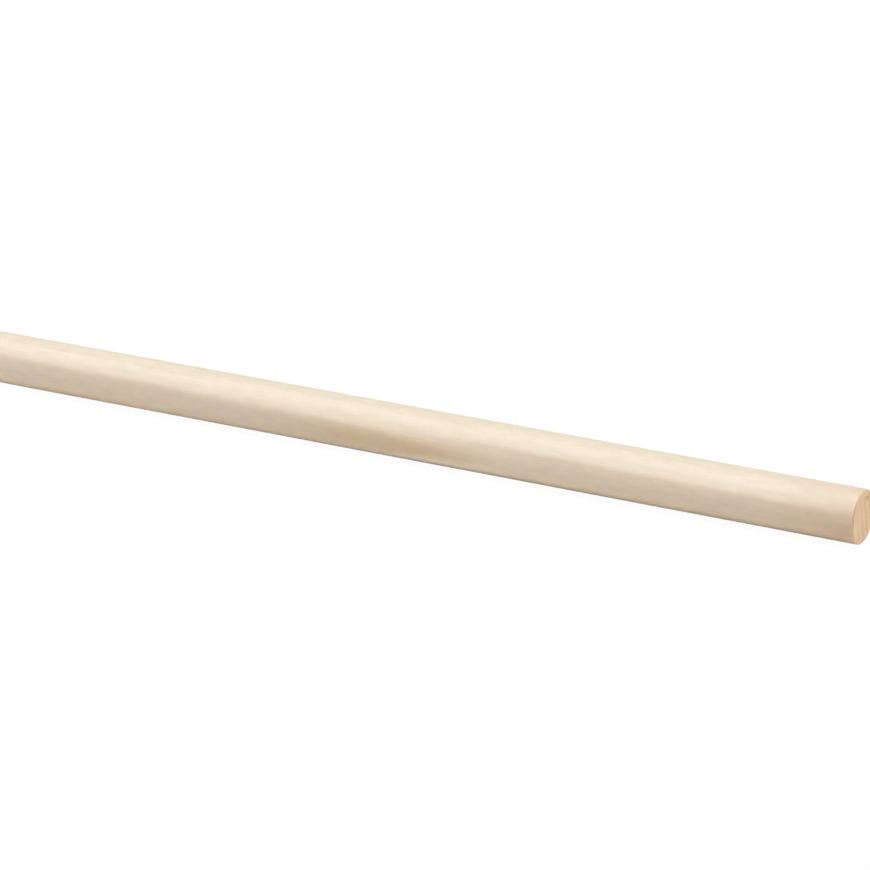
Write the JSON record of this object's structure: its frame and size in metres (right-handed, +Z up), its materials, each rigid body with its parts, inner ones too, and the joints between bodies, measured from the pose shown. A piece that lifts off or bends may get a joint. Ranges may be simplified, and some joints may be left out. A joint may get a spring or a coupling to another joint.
{
  "type": "wooden dowel rod",
  "caption": "Straight round rod of pale hardwood with plain square-sawn ends, a stock length for bench and desk work.",
  "frame": {"origin": "on the rod's axis, halfway along its length", "axes": "+X along the rod's axis and its grain, towards the near sawn end; +Z up, with the rod lying level"},
  "size_m": [0.3, 0.012, 0.012],
  "materials": {
    "dowel_rod": "bare, fine-sanded pale hardwood with a straight grain, satin; ends sawn across the grain and left raw"
  },
  "bodies": {
    "root": {"dowel_rod": "dowel_rod"}
  },
  "joints": []
}
